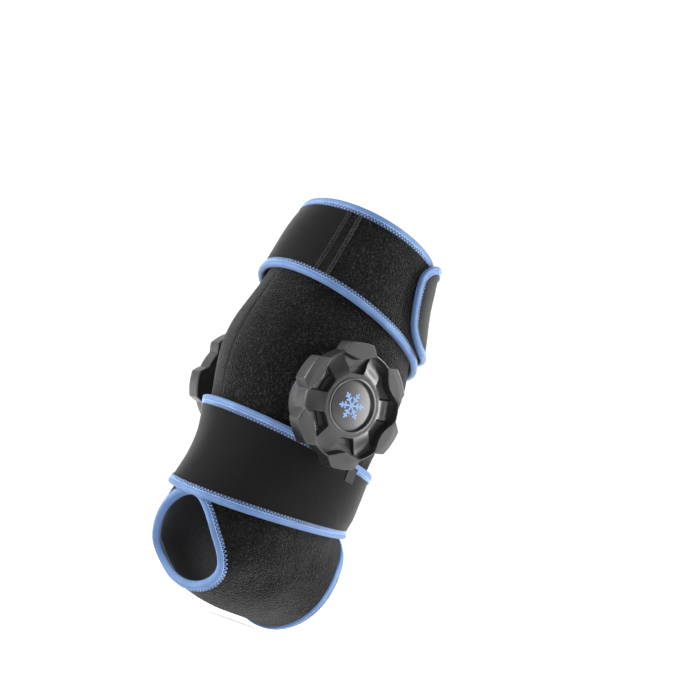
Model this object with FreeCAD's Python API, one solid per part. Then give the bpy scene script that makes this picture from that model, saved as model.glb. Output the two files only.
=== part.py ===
"""Cold compression wrap for the ankle and calf, worn shape, with two screw-capped ice bags.

Frame: +Z runs up the shank, +X towards the toes, +Y to the far (inner) side of the foot, and z = 0 is close
to the sole, on the shank's line. All sizes are millimetres. The wrap is a bent tube: every layer of it is a loft
through oval stations, and a layer at offset d stands d outside the body panels' outer face.
"""

import FreeCAD
import Part
import math
import os

V = FreeCAD.Vector

# ---- driving dimensions ----------------------------------------------------------------------------------
# shank stations: height, centre x, half depth (x), half width (y)
SHANK = [(284, -4, 44, 40), (264, -4, 45.5, 41.5), (208, -3, 52.5, 47.5), (156, -3.5, 64, 57), (108, -2, 58, 48.5)]
# foot stations fan out about a point in front of the instep: angle below horizontal, reach to heel or sole,
# half width; the instep lies on a small circle round the same point
FAN_X, FAN_Z, INSTEP_R = 74, 80, 18
FAN = [
    (0, 134, 46.5),
    (13.4, 149, 45),
    (25, 156, 44),
    (31, 144, 43),
    (37, 132, 42.5),
    (46.5, 113.5, 41),
    (58.5, 97.5, 39.5),
    (68, 91, 38.5),
    (78, 88, 38),
]
OVAL_POINTS = 24
STATION_COUNT = 26
# side outlines, x and z, of the toe edge and of the heel opening
TOE_EDGE = [(31, -14), (33, 2), (35, 18), (38, 34), (43, 48), (51, 60), (61, 71), (82, 86)]
HEEL_EDGE = [(-45.5, -8), (-46.5, 12), (-54.5, 26), (-63, 40), (-67.5, 58), (-67, 74)]

PANEL_T = 4.0             # loop-faced neoprene
BIND_T = 0.8              # edge binding tape
BIND_W = 6.0              # width of the binding seen on each face
STRAP_IN = 1.0            # inner face of both straps
CALF_OUT = 5.0            # outer face of the calf strap
ANKLE_OUT = 4.4           # outer face of the ankle strap
ANKLE_BIND_T = 0.5
HOOK_T = 0.7              # hook patch under a strap end
TAB_T = 3.2
CALF_TAB_IN = 6.9         # inner face of the calf strap's end, over the strap it grips
ANKLE_TAB_IN = 6.0

# edges are planes z = a + b * x + c * y, given as (a, b, c)
CALF_TOP = (252, -0.14, 0)
CALF_LOW = (193, -0.25, 0.05)
ANKLE_TOP = (113, -0.05, 0.06)
ANKLE_LOW = (64, 0.09, 0.05)
BODY_TOP = (247, -0.14, 0)

SLIT_HALF = 5             # half width of the front opening
SLIT_FLOOR = 92

CAP_YAW = 15              # the cap axis is turned this far from Y, as the ankle bones are
# side 1 is the near cap and side -1 the far one: where each axis crosses the XZ plane, and how far out its base is
CAP_X, CAP_Z = {1: -16, -1: -8}, 138
CAP_FACE = {1: 56.0, -1: 59.5}
CAP_R, CAP_VALLEY_R = 38.5, 34.0
LOBES = 6
LOBE_PHASE = 43.5         # turn of one lobe from level, at rest
CAP_BASE, CAP_TOP = 3.5, 14.5
NECK_R, NECK_BORE, NECK_RIM = 22.5, 19.0, 8.0
SKIRT_BORE = 23.0
SEAL_T = 1.5
LOCK_R, LOCK_TOP = 27.0, 2.8
FLANGE_R = 26.5
BAG_HALF_W, BAG_HALF_H = 36, 48
BAG_IN, BAG_WALL = 14.0, 1.0
BAG_GAP = 0.2
POCKET_T = 1.2

NODES = {}


# ---- the wrap's layers -----------------------------------------------------------------------------------
def oval(rear, front, half_width, d):
    """Points round a closed section whose long axis joins rear to front, grown by d."""
    along = (front - rear).normalize()
    middle, reach = (rear + front) * 0.5, (front - rear).Length / 2 + d
    points = []
    for i in range(OVAL_POINTS + 1):
        t = 2 * math.pi * (i % OVAL_POINTS) / OVAL_POINTS
        points.append(middle + along * (reach * math.cos(t)) + V(0, (half_width + d) * math.sin(t), 0))
    return points


def stations():
    """Rear point, front point and half width of closely spaced sections down the bent tube."""
    rear = [V(cx - depth, 0, z) for z, cx, depth, width in SHANK]
    front = [V(cx + depth, 0, z) for z, cx, depth, width in SHANK]
    width = [V(w, 0, 0) for z, cx, depth, w in SHANK]
    for angle, reach, half_width in FAN:
        way = V(-math.cos(math.radians(angle)), 0, -math.sin(math.radians(angle)))
        rear.append(V(FAN_X, 0, FAN_Z) + way * reach)
        front.append(V(FAN_X, 0, FAN_Z) + way * INSTEP_R)
        width.append(V(half_width, 0, 0))
    at = [0.0]
    for i in range(1, len(rear)):
        at.append(at[-1] + rear[i].distanceToPoint(rear[i - 1]) + front[i].distanceToPoint(front[i - 1]))
    curves = []
    for points in (rear, front, width):
        curve = Part.BSplineCurve()
        curve.interpolate(Points=points, Parameters=at)
        curves.append(curve)
    found = []
    for i in range(STATION_COUNT + 1):
        t = at[-1] * i / STATION_COUNT
        found.append((curves[0].value(t), curves[1].value(t), curves[2].value(t).x))
    return found


LAYERS = {}


def filled(d):
    """The whole bent tube, solid, with its surface at offset d. It runs past both ends of the wrap."""
    if d not in LAYERS:
        surface = Part.BSplineSurface()
        surface.interpolate([oval(rear, front, width, d) for rear, front, width in stations()])
        low, high = surface.bounds()[:2]
        ends = [Part.Face(Part.Wire(surface.uIso(u).toShape())) for u in (low, high)]
        shell = Part.Shell([surface.toShape()] + ends)
        shell.sewShape()
        solid = Part.Solid(Part.Shell(shell.Faces))
        if solid.Volume < 0:
            solid.reverse()
        LAYERS[d] = solid
    return LAYERS[d].copy()


def layer(inner, outer):
    return filled(outer).cut(filled(inner))


def box(x0, x1, y0, y1, z0, z1):
    return Part.makeBox(x1 - x0, y1 - y0, z1 - z0, V(x0, y0, z0))


def below(plane, shift=0.0):
    """Everything below a tilted plane that has been raised by shift."""
    height, slope_x, slope_y = plane
    turn = FreeCAD.Rotation(V(0, 0, 1), V(-slope_x, -slope_y, 1))
    block = Part.makeBox(600, 600, 600, V(-300, -300, -600))
    block.Placement = FreeCAD.Placement(V(0, 0, height + shift), turn)
    return block


def side_prism(edge, corners, shift):
    """Prism right across the wrap whose side outline is a smooth edge, closed by corners, moved by shift in X."""
    curve = Part.BSplineCurve()
    curve.interpolate([V(x, 0, z) for x, z in edge])
    rest = [V(x, 0, z) for x, z in [edge[-1]] + corners + [edge[0]]]
    wire = Part.Wire([curve.toShape()] + Part.makePolygon(rest).Edges)
    return Part.Face(wire).extrude(V(0, 400, 0)).translated(V(shift, -200, 0))


def behind_toe(shift=0.0):
    """Everything on the heel side of the toe edge, moved towards the toes by shift."""
    return side_prism(TOE_EDGE, [(300, 86), (300, 500), (-300, 500), (-300, -80), (31, -80)], shift)


def heel_hole(shift=0.0):
    return side_prism(HEEL_EDGE, [(-160, 74), (-160, -80), (-45.5, -80)], shift)


def keep(name, shape):
    solids = [s for s in shape.Solids if s.Volume > 1.0]
    NODES[name] = solids[0] if len(solids) == 1 else Part.makeCompound(solids)


# ---- body panels and their bindings ----------------------------------------------------------------------
def cap_frame(side):
    """Placement whose Z is the cap axis, pointing out of the wrap, with its origin on the body's face."""
    yaw = math.radians(CAP_YAW)
    out = V(-math.sin(yaw), -math.cos(yaw), 0) * side
    turn = FreeCAD.Rotation(V(-out.y, out.x, 0), V(0, 0, 1), out, "ZXY")
    return FreeCAD.Placement(V(CAP_X[side], 0, CAP_Z) + out * CAP_FACE[side], turn)


def on_axis(side, shape):
    placed = shape.copy()
    placed.Placement = cap_frame(side).multiply(placed.Placement)
    return placed


def ring(r_in, r_out, h0, h1):
    outer = Part.makeCylinder(r_out, h1 - h0, V(0, 0, h0))
    return outer.cut(Part.makeCylinder(r_in, h1 - h0 + 2, V(0, 0, h0 - 1)))


def body():
    front_slit = box(0, 120, -SLIT_HALF, SLIT_HALF, SLIT_FLOOR, 400)
    ends = below(BODY_TOP).common(behind_toe())
    whole = layer(-PANEL_T, 0).common(ends).cut(heel_hole()).cut(front_slit)
    necks = [on_axis(s, Part.makeCylinder(NECK_R + BAG_GAP, 50, V(0, 0, -35))) for s in (1, -1)]
    for neck in necks:
        whole = whole.cut(neck)
    keep("near_body_panel", whole.common(box(-200, 200, -200, 0, -50, 400)))
    keep("far_body_panel", whole.common(box(-200, 200, 0, 200, -50, 400)))

    skin = layer(-PANEL_T - BIND_T, BIND_T)
    toe = skin.common(behind_toe(BIND_T)).cut(behind_toe(-BIND_W)).cut(layer(-PANEL_T, 0).common(behind_toe()))
    keep("toe_binding", toe.common(below((FAN_Z, 0, 0))))
    low = skin.common(below((FAN_Z, 0, 0)))
    rim = low.common(heel_hole(BIND_W * 1.2)).cut(heel_hole(-BIND_T * 1.2))
    keep("heel_binding", rim.cut(layer(-PANEL_T, 0).cut(heel_hole())).common(box(-200, 10, -200, 200, -60, FAN_Z)))

    gap = box(0, 120, -SLIT_HALF - BIND_W, SLIT_HALF + BIND_W, SLIT_FLOOR + 2, 300)
    lips = skin.common(gap).common(below(BODY_TOP, -0.5)).cut(box(0, 120, -SLIT_HALF + BIND_T, SLIT_HALF - BIND_T, 0, 400))
    lips = lips.cut(layer(-PANEL_T, 0).cut(front_slit))
    keep("front_edge_bindings", lips)

    tape = layer(-PANEL_T - BIND_T, -PANEL_T - 0.03).common(box(-120, -20, -7, 7, FAN_Z, BODY_TOP[0]))
    keep("rear_seam_tape", tape.cut(bag_pad(1, -2 * PANEL_T, 1, POCKET_T + 1.2, 20)))


# ---- straps ----------------------------------------------------------------------------------------------
def band(inner, outer, low, top, low_shift=0.0, top_shift=0.0):
    return layer(inner, outer).common(below(top, top_shift)).cut(below(low, low_shift)).common(behind_toe(-3))


def edge_binding(inner, outer, t, low, top, at_top):
    """Tape folded round one edge of a band."""
    strap = band(inner, outer, low, top)
    if at_top:
        zone = band(inner - t, outer + t, top, top, -BIND_W, t)
    else:
        zone = band(inner - t, outer + t, low, low, -t, BIND_W)
    return zone.cut(strap)


def sector(from_deg, to_deg):
    """Wedge about the shank's axis, between two azimuths measured from +X towards +Y."""
    steps = 8
    rim = []
    for i in range(steps + 1):
        a = math.radians(from_deg + (to_deg - from_deg) * i / steps)
        rim.append(V(200 * math.cos(a), 200 * math.sin(a), 0))
    wire = Part.makePolygon([V(0, 0, 0)] + rim + [V(0, 0, 0)])
    return Part.Face(wire).extrude(V(0, 0, 400))


def tongue(azimuth, root, tip, low, top, corner):
    """Prism along one azimuth whose outline is a strap end: square at root, round-cornered at tip.

    root and tip are distances across that azimuth, low and top are heights.
    """
    side = 1 if tip > root else -1
    c = corner
    p = [
        (root, low),
        (tip - side * c, low),
        (tip, low + c),
        (tip, top - c),
        (tip - side * c, top),
        (root, top),
    ]
    k = c * (1 - math.sqrt(0.5))
    flat = [V(u, 0, z) for u, z in p]
    low_arc = Part.Arc(flat[1], V(tip - side * k, 0, low + k), flat[2]).toShape()
    top_arc = Part.Arc(flat[3], V(tip - side * k, 0, top - k), flat[4]).toShape()
    wire = Part.Wire(
        [
            Part.makeLine(flat[0], flat[1]),
            low_arc,
            Part.makeLine(flat[2], flat[3]),
            top_arc,
            Part.makeLine(flat[4], flat[5]),
            Part.makeLine(flat[5], flat[0]),
        ]
    )
    prism = Part.Face(wire).extrude(V(0, 200, 0))
    prism.rotate(V(0, 0, 0), V(0, 0, 1), azimuth - 90)
    return prism


REAR_SEAM = -150          # azimuth of the join between the strap's two fabrics, on the near rear side
CALF_TAB = (-28, -43, 48, 184, 243, 16)        # azimuth, root, tip, low, top, corner radius
ANKLE_TAB = (34, 36, -36, 74, 98, 9)


def strap_end(name, spot, inner):
    azimuth, root, tip, low, top, corner = spot
    side = 1 if tip > root else -1
    w = BIND_W
    outline = tongue(azimuth, root, tip, low, top, corner)
    shell = layer(inner, inner + TAB_T).common(outline)
    keep(name, shell)
    hook = tongue(azimuth, root + side * 22, tip - side * w, low + w + 1, top - w - 1, corner - w)
    keep(name + "_hook_patch", layer(inner - HOOK_T, inner - 0.02).common(hook))
    fold = tongue(azimuth, root, tip + side * BIND_T, low - BIND_T, top + BIND_T, corner)
    open_face = tongue(azimuth, root - side, tip - side * w, low + w, top - w, corner - w)
    wrap = layer(inner - BIND_T, inner + TAB_T + BIND_T).common(fold).cut(open_face)
    keep(name + "_binding", wrap.cut(shell))


def straps():
    calf = (STRAP_IN, CALF_OUT, CALF_LOW, CALF_TOP)
    whole = band(*calf)
    loop_side = sector(REAR_SEAM, 20)
    keep("calf_strap_loop", whole.common(loop_side))
    keep("calf_strap_smooth", whole.cut(loop_side))
    for name, at_top in (("calf_strap_top_binding", True), ("calf_strap_low_binding", False)):
        keep(name, edge_binding(STRAP_IN, CALF_OUT, BIND_T, CALF_LOW, CALF_TOP, at_top))
    ankle = (STRAP_IN, ANKLE_OUT, ANKLE_LOW, ANKLE_TOP)
    keep("ankle_strap", band(*ankle))
    for name, at_top in (("ankle_strap_top_binding", True), ("ankle_strap_low_binding", False)):
        keep(name, edge_binding(STRAP_IN, ANKLE_OUT, ANKLE_BIND_T, ANKLE_LOW, ANKLE_TOP, at_top))
    for side in (1, -1):
        room = on_axis(side, Part.makeCylinder(LOCK_R + 0.5, 60, V(0, 0, -35)))
        for name in ("ankle_strap", "ankle_strap_top_binding"):
            keep(name, NODES[name].cut(room))
    label = tongue(-88, -24, -15, 89, 97, 1.2)
    keep("size_label", layer(ANKLE_OUT, ANKLE_OUT + 0.6).common(label))
    strap_end("calf_strap_end", CALF_TAB, CALF_TAB_IN)
    strap_end("ankle_strap_end", ANKLE_TAB, ANKLE_TAB_IN)


# ---- ice bags and caps -----------------------------------------------------------------------------------
def lobed_face(top_share=0.42, slope_share=0.26):
    """Outline of the cap: six flat-topped lobes on a round valley circle."""
    step = 360 / LOBES
    edges = []
    for i in range(LOBES):
        mid = i * step
        half_top, half_foot = step * top_share / 2, step * (top_share / 2 + slope_share / 2)

        def at(r, deg):
            return V(r * math.cos(math.radians(deg)), r * math.sin(math.radians(deg)), 0)

        edges.append(Part.Arc(at(CAP_R, mid - half_top), at(CAP_R, mid), at(CAP_R, mid + half_top)).toShape())
        edges.append(Part.makeLine(at(CAP_R, mid + half_top), at(CAP_VALLEY_R, mid + half_foot)))
        foot, next_foot = mid + half_foot, mid + step - half_foot
        valley = Part.Arc(at(CAP_VALLEY_R, foot), at(CAP_VALLEY_R, (foot + next_foot) / 2), at(CAP_VALLEY_R, next_foot))
        edges.append(valley.toShape())
        edges.append(Part.makeLine(at(CAP_VALLEY_R, next_foot), at(CAP_R, mid + step - half_top)))
    return Part.Face(Part.Wire(edges))


def grip_cap():
    """Screw cap: lobed rim, dished ring round a hub, and a wedge pocket behind each lobe."""
    solid = lobed_face().extrude(V(0, 0, CAP_TOP - CAP_BASE)).translated(V(0, 0, CAP_BASE))
    hub_r, rim_r = 17.5, 32.0
    dish = [V(hub_r, 0, CAP_TOP + 1), V(hub_r, 0, CAP_TOP - 0.6), V(hub_r + 7, 0, CAP_TOP - 2.4),
            V(rim_r - 2, 0, CAP_TOP - 2.8), V(rim_r, 0, CAP_TOP + 1), V(hub_r, 0, CAP_TOP + 1)]
    groove = Part.Face(Part.makePolygon(dish)).revolve(V(0, 0, 0), V(0, 0, 1), 360)
    solid = solid.cut(groove)
    for i in range(LOBES):
        mid = i * 360 / LOBES
        half_in, half_out = 4.0, 8.5
        corners = [V(18.5, -half_in, 0), V(28.5, -half_out, 0), V(28.5, half_out, 0), V(18.5, half_in, 0)]
        wedge = Part.Face(Part.makePolygon(corners + corners[:1])).extrude(V(0, 0, 9))
        wedge = wedge.translated(V(0, 0, CAP_TOP - 4.0))
        wedge.rotate(V(0, 0, 0), V(0, 0, 1), mid)
        solid = solid.cut(wedge)
    solid = solid.cut(Part.makeCylinder(SKIRT_BORE, NECK_RIM + SEAL_T + 0.1 - CAP_BASE + 1, V(0, 0, CAP_BASE - 1)))
    return solid.cut(Part.makeCylinder(15.2, 3, V(0, 0, CAP_TOP - 1.6)))


def bag_pad(side, inner, outer, grow, corner):
    """Part of a layer behind one cap, with a round-cornered outline of the ice bag's size plus grow."""
    w, h = BAG_HALF_W + grow, BAG_HALF_H + grow
    azimuth = -90 - CAP_YAW if side > 0 else 90 - CAP_YAW
    left = tongue(azimuth, 0, w, CAP_Z - h, CAP_Z + h, corner)
    right = tongue(azimuth, 0, -w, CAP_Z - h, CAP_Z + h, corner)
    return layer(inner, outer).common(left.fuse(right).removeSplitter().translated(V(CAP_X[side], 0, 0)))


def ice_bag(side):
    """Flat hollow bag against the panel's inner face, with a round mouth for the neck."""
    top = PANEL_T + BAG_GAP
    hollow = bag_pad(side, -BAG_IN + BAG_WALL, -top - BAG_WALL, -2 * BAG_WALL, 16)
    mouth = on_axis(side, Part.makeCylinder(NECK_R + BAG_GAP, 50, V(0, 0, -35)))
    mouth = mouth.common(layer(-top - BAG_WALL - 1, -top + 1))
    return bag_pad(side, -BAG_IN, -top, 0, 18).cut(hollow).cut(mouth)


def pocket_liner(side):
    """Fabric pocket that holds the bag: a sheet behind it with a turned-up rim all round."""
    inner, outer = -BAG_IN - 0.3 - POCKET_T, -PANEL_T - 0.3
    room = bag_pad(side, -BAG_IN - 0.3, -PANEL_T, 1.0, 19)
    return bag_pad(side, inner, outer, 1.0 + POCKET_T, 20).cut(room)


def closures():
    for side, name in ((1, "near"), (-1, "far")):
        keep(name + "_ice_bag", ice_bag(side))
        keep(name + "_pocket_liner", pocket_liner(side))
        seat = -PANEL_T - BAG_GAP - BAG_WALL - 0.15
        flange = on_axis(side, Part.makeCylinder(FLANGE_R, 45, V(0, 0, -35)))
        flange = flange.common(layer(seat - 1.8, seat))
        tube = on_axis(side, Part.makeCylinder(NECK_R, NECK_RIM + 30, V(0, 0, -30)))
        tube = tube.cut(filled(seat - 1.8))
        neck = flange.fuse(tube).cut(on_axis(side, Part.makeCylinder(NECK_BORE, 70, V(0, 0, -45))))
        keep(name + "_neck", neck)
        keep(name + "_lock_ring", on_axis(side, ring(NECK_R + 0.05, LOCK_R, -25, LOCK_TOP)).cut(filled(0.1)))
        seal = Part.makeCylinder(21.8, SEAL_T, V(0, 0, NECK_RIM + 0.05))
        keep(name + "_seal", on_axis(side, seal))
        cap = grip_cap()
        cap.rotate(V(0, 0, 0), V(0, 0, 1), LOBE_PHASE)
        keep(name + "_cap", on_axis(side, cap))
        keep(name + "_cap_badge", on_axis(side, Part.makeCylinder(15.1, 0.8, V(0, 0, CAP_TOP - 1.6))))


def tuck_bindings():
    """The body's own edge bindings stop where a strap's binding presses on them."""
    for covered, covers in (
        ("front_edge_bindings", "calf_strap_top_binding"),
        ("front_edge_bindings", "calf_strap_low_binding"),
        ("front_edge_bindings", "ankle_strap_top_binding"),
        ("toe_binding", "ankle_strap_low_binding"),
        ("heel_binding", "ankle_strap_low_binding"),
    ):
        keep(covered, NODES[covered].cut(NODES[covers]))


def main():
    body()
    straps()
    closures()
    tuck_bindings()
    os.makedirs("parts", exist_ok=True)
    for name, shape in NODES.items():
        if not shape.Solids or not shape.isValid():
            print("PROBLEM", name, len(shape.Solids), shape.isValid())
        print(f"{name:28s} solids {len(shape.Solids)} volume {shape.Volume / 1000:8.2f} cm3")
        shape.exportStep(f"parts/{name}.step")


main()
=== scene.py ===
import math
import random

import bpy
import numpy as np
from mathutils import Matrix, Vector


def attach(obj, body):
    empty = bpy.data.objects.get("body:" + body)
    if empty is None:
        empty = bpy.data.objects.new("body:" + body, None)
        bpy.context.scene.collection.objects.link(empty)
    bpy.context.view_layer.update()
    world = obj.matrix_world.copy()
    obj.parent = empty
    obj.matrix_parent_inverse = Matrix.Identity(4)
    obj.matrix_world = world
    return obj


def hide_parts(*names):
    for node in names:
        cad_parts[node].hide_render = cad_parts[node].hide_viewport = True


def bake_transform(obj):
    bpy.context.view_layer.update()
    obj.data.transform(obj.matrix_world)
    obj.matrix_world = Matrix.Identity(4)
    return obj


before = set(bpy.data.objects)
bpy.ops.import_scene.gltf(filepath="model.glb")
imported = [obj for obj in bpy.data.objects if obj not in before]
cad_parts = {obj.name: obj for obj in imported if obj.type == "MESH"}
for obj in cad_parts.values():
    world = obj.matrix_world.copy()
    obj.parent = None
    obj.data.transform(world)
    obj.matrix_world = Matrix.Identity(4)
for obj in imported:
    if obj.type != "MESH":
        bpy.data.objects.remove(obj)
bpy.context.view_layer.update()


MM = 0.001

# ---- the wrap's surface ----------------------------------------------------------------------------------
# rear x, rear z, front x, front z and half width of evenly spaced sections down the bent tube, in mm
STATIONS = np.array(
    [
        (-48.0, 284.0, 40.0, 284.0, 40.0),
        (-48.9, 271.9, 40.8, 271.9, 40.9),
        (-49.8, 259.8, 41.9, 259.8, 41.8),
        (-50.5, 247.7, 43.1, 247.8, 42.6),
        (-51.4, 235.6, 44.5, 235.8, 43.6),
        (-52.7, 223.6, 46.3, 223.7, 44.9),
        (-54.7, 211.7, 48.7, 211.7, 46.8),
        (-57.6, 199.9, 51.6, 199.7, 49.4),
        (-61.0, 188.2, 54.8, 187.7, 52.3),
        (-64.3, 176.5, 57.7, 175.8, 55.0),
        (-66.7, 164.5, 59.8, 164.0, 56.7),
        (-67.6, 152.3, 60.6, 152.6, 56.8),
        (-66.7, 139.8, 59.9, 141.3, 55.2),
        (-64.6, 127.5, 58.4, 129.7, 52.6),
        (-61.9, 115.7, 56.8, 117.3, 50.0),
        (-59.2, 104.8, 55.8, 103.6, 48.0),
        (-57.8, 93.9, 55.7, 89.8, 47.1),
        (-60.0, 80.0, 56.0, 80.0, 46.5),
        (-66.6, 60.8, 56.2, 76.6, 45.6),
        (-72.4, 37.4, 56.7, 75.2, 44.8),
        (-69.0, 15.9, 57.6, 72.7, 44.1),
        (-49.7, 5.9, 58.6, 70.8, 43.0),
        (-28.5, -0.0, 59.8, 68.9, 42.4),
        (-6.7, -2.2, 61.4, 67.2, 41.2),
        (14.8, -2.8, 63.5, 65.4, 40.0),
        (35.5, -4.0, 66.5, 63.6, 38.7),
        (55.7, -6.1, 70.3, 62.4, 38.0),
    ]
)
LAST = len(STATIONS) - 1


TOP_HUG = 9.0             # how far the calf's rear top edge is drawn in towards the leg, in mm
HUG_ANGLE = 150           # where round the calf it is drawn in most


def station(u):
    """Catmull-Rom through the station table; u runs from 0 at the top to LAST past the toes."""
    u = np.clip(u, 0, LAST)
    i = np.clip(np.floor(u).astype(int), 0, LAST - 1)
    f = (u - i)[..., None]
    p0, p1 = STATIONS[np.maximum(i - 1, 0)], STATIONS[i]
    p2, p3 = STATIONS[i + 1], STATIONS[np.minimum(i + 2, LAST)]
    square, cube = 2 * p0 - 5 * p1 + 4 * p2 - p3, 3 * p1 - p0 - 3 * p2 + p3
    return 0.5 * (2 * p1 + (p2 - p0) * f + square * f**2 + cube * f**3)


def skin(u, t, d):
    """Points in mm at station u, angle t (0 front, 90 far side, 180 rear, 270 near side) and offset d."""
    u, t, d = np.broadcast_arrays(np.asarray(u, float), np.asarray(t, float), np.asarray(d, float))
    row = station(u)
    hug = np.maximum(np.cos(np.radians((t % 360) - HUG_ANGLE) * 0.9), 0) ** 2
    d = d - TOP_HUG * np.exp(-((np.maximum(u - 1, 0) / 2.1) ** 2)) * hug
    rear = np.stack([row[..., 0], row[..., 1]], -1)
    front = np.stack([row[..., 2], row[..., 3]], -1)
    span = front - rear
    length = np.linalg.norm(span, axis=-1, keepdims=True)
    along = span / length
    a = np.radians(t)[..., None]
    xz = (rear + front) / 2 + along * (length / 2 + d[..., None]) * np.cos(a)
    y = (row[..., 4] + d) * np.sin(a[..., 0])
    return np.stack([xz[..., 0], y, xz[..., 1]], -1)


def skin_frame(u, t, d):
    """Point, outward normal and the two unit tangents (down the tube, and round it)."""
    p = skin(u, t, d)
    du = skin(np.asarray(u) + 0.04, t, d) - skin(np.asarray(u) - 0.04, t, d)
    dt = skin(u, np.asarray(t) + 0.4, d) - skin(u, np.asarray(t) - 0.4, d)
    du /= np.linalg.norm(du, axis=-1, keepdims=True)
    dt /= np.linalg.norm(dt, axis=-1, keepdims=True)
    n = np.cross(dt, -du)
    n /= np.linalg.norm(n, axis=-1, keepdims=True)
    return p, n, du, dt


def find_u(t, d, height, lo=0.0, hi=None):
    """Station at which the surface meets a condition that is positive above it: bisection for every t."""
    t = np.asarray(t, float)
    lo = np.full(t.shape, lo)
    hi = np.full(t.shape, float(LAST if hi is None else hi))
    for _ in range(40):
        mid = (lo + hi) / 2
        up = height(skin(mid, t, d)) > 0
        lo, hi = np.where(up, mid, lo), np.where(up, hi, mid)
    return (lo + hi) / 2


def plane(a, b, c, shift=0.0):
    return lambda p: p[..., 2] - (a + b * p[..., 0] + c * p[..., 1] + shift)


CALF_TOP, CALF_LOW = (252, -0.14, 0), (193, -0.25, 0.05)
ANKLE_TOP, ANKLE_LOW = (113, -0.05, 0.06), (64, 0.09, 0.05)
BODY_TOP = (247, -0.14, 0)
# side outlines, x and z, of the toe edge and of the heel opening
TOE_EDGE = [(31, -14), (33, 2), (35, 18), (38, 34), (43, 48), (51, 60), (61, 71), (82, 86)]
HEEL_EDGE = [(-45.5, -8), (-46.5, 12), (-54.5, 26), (-63, 40), (-67.5, 58), (-67, 74)]


def outline_x(outline, z):
    """x of a side outline at height z: a smooth curve through its points."""
    xs, zs = np.array(outline, float).T
    z = np.clip(z, zs[0], zs[-1])
    i = np.clip(np.searchsorted(zs, z, side="right") - 1, 0, len(zs) - 2)
    slope = np.gradient(xs, zs)
    h = zs[i + 1] - zs[i]
    f = (z - zs[i]) / h
    return (
        (2 * f**3 - 3 * f**2 + 1) * xs[i]
        + (f**3 - 2 * f**2 + f) * h * slope[i]
        + (3 * f**2 - 2 * f**3) * xs[i + 1]
        + (f**3 - f**2) * h * slope[i + 1]
    )


def before_toe(p):
    """Positive on the heel side of the toe edge."""
    return np.where(p[..., 2] > 86, 50.0, outline_x(TOE_EDGE, p[..., 2]) - p[..., 0])


def outside_heel(p):
    """Positive outside the heel opening."""
    return np.where(p[..., 2] > 74, 50.0, p[..., 0] - outline_x(HEEL_EDGE, p[..., 2]))


# ---- mesh helpers ----------------------------------------------------------------------------------------
def make(name, verts, faces, material, smooth=True, sharp=None):
    me = bpy.data.meshes.new(name)
    me.from_pydata([tuple(v) for v in np.asarray(verts) * MM], [], [list(map(int, f)) for f in faces])
    me.validate()
    if smooth:
        me.polygons.foreach_set("use_smooth", [True] * len(me.polygons))
    if sharp is not None:
        me.set_sharp_from_angle(angle=math.radians(sharp))
    ob = bpy.data.objects.new(name, me)
    bpy.context.scene.collection.objects.link(ob)
    me.materials.append(material)
    return ob


def back_faces(ob, material, count):
    """Gives a shell's inner faces, which come after its count outer ones, a second material."""
    ob.data.materials.append(material)
    for poly in ob.data.polygons[count : 2 * count]:
        poly.material_index = 1


def grid_faces(rows, cols, start=0, wrap=False, flip=False):
    faces = []
    for i in range(rows - 1):
        for j in range(cols if wrap else cols - 1):
            k = (j + 1) % cols
            here, below = start + i * cols, start + (i + 1) * cols
            f = [here + j, here + k, below + k, below + j]
            faces.append(f[::-1] if flip else f)
    return faces


def shell(outer, inner, wrap=False, keep=None):
    """Closed sheet between two grids (rows, cols, 3) of the same shape. keep picks the cells used."""
    rows, cols = outer.shape[:2]
    top = grid_faces(rows, cols, 0, wrap)
    used = [f for i, f in enumerate(top) if keep is None or keep[i]]
    n = rows * cols
    faces = used + [[v + n for v in f[::-1]] for f in used]
    count = {}
    for f in used:
        for a, b in zip(f, f[1:] + f[:1]):
            count[(a, b)] = True
    for a, b in list(count):
        if (b, a) not in count:
            faces.append([b, a, a + n, b + n])
    verts = np.concatenate([outer.reshape(-1, 3), inner.reshape(-1, 3)])
    return verts, faces


def compact(verts, faces):
    used = sorted({v for f in faces for v in f})
    at = {v: i for i, v in enumerate(used)}
    return np.asarray(verts)[used], [[at[v] for v in f] for f in faces]


def sweep(points, normals, sides, profile, closed=False):
    """Profile [(b, n), ...] carried along points, with b along sides and n along normals."""
    prof = np.array(profile, float)
    grid = points[:, None] + sides[:, None] * prof[None, :, :1] + normals[:, None] * prof[None, :, 1:]
    rows, cols = grid.shape[:2]
    if closed:
        grid = np.concatenate([grid, grid[:1]])
        faces = []
        for i in range(rows):
            for j in range(cols):
                k = (j + 1) % cols
                r = (i + 1) % rows
                faces.append([i * cols + j, i * cols + k, r * cols + k, r * cols + j])
        return grid[:-1].reshape(-1, 3), faces
    faces = grid_faces(rows, cols, 0, True)
    faces.append(list(range(cols))[::-1])
    faces.append([(rows - 1) * cols + j for j in range(cols)])
    return grid.reshape(-1, 3), faces


def tube(points, radius, sides=5, closed=False):
    """Thread along points, with a steady frame."""
    points = np.asarray(points, float)
    if closed:
        tangent = np.roll(points, -1, 0) - np.roll(points, 1, 0)
    else:
        tangent = np.gradient(points, axis=0)
    tangent /= np.linalg.norm(tangent, axis=1, keepdims=True) + 1e-12
    normals = np.zeros_like(points)
    n = np.cross(tangent[0], (0.3, 0.5, 0.8))
    for i, t in enumerate(tangent):
        n = n - t * np.dot(n, t)
        n /= np.linalg.norm(n) + 1e-12
        normals[i] = n
    other = np.cross(tangent, normals)
    angles = np.arange(sides) * 2 * math.pi / sides
    profile = [(radius * math.cos(a), radius * math.sin(a)) for a in angles]
    return sweep(points, normals, other, profile, closed)


def join(parts):
    verts, faces = [], []
    for v, f in parts:
        start = len(verts)
        verts.extend(np.asarray(v).tolist())
        faces.extend([[i + start for i in face] for face in f])
    return np.array(verts), faces


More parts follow.
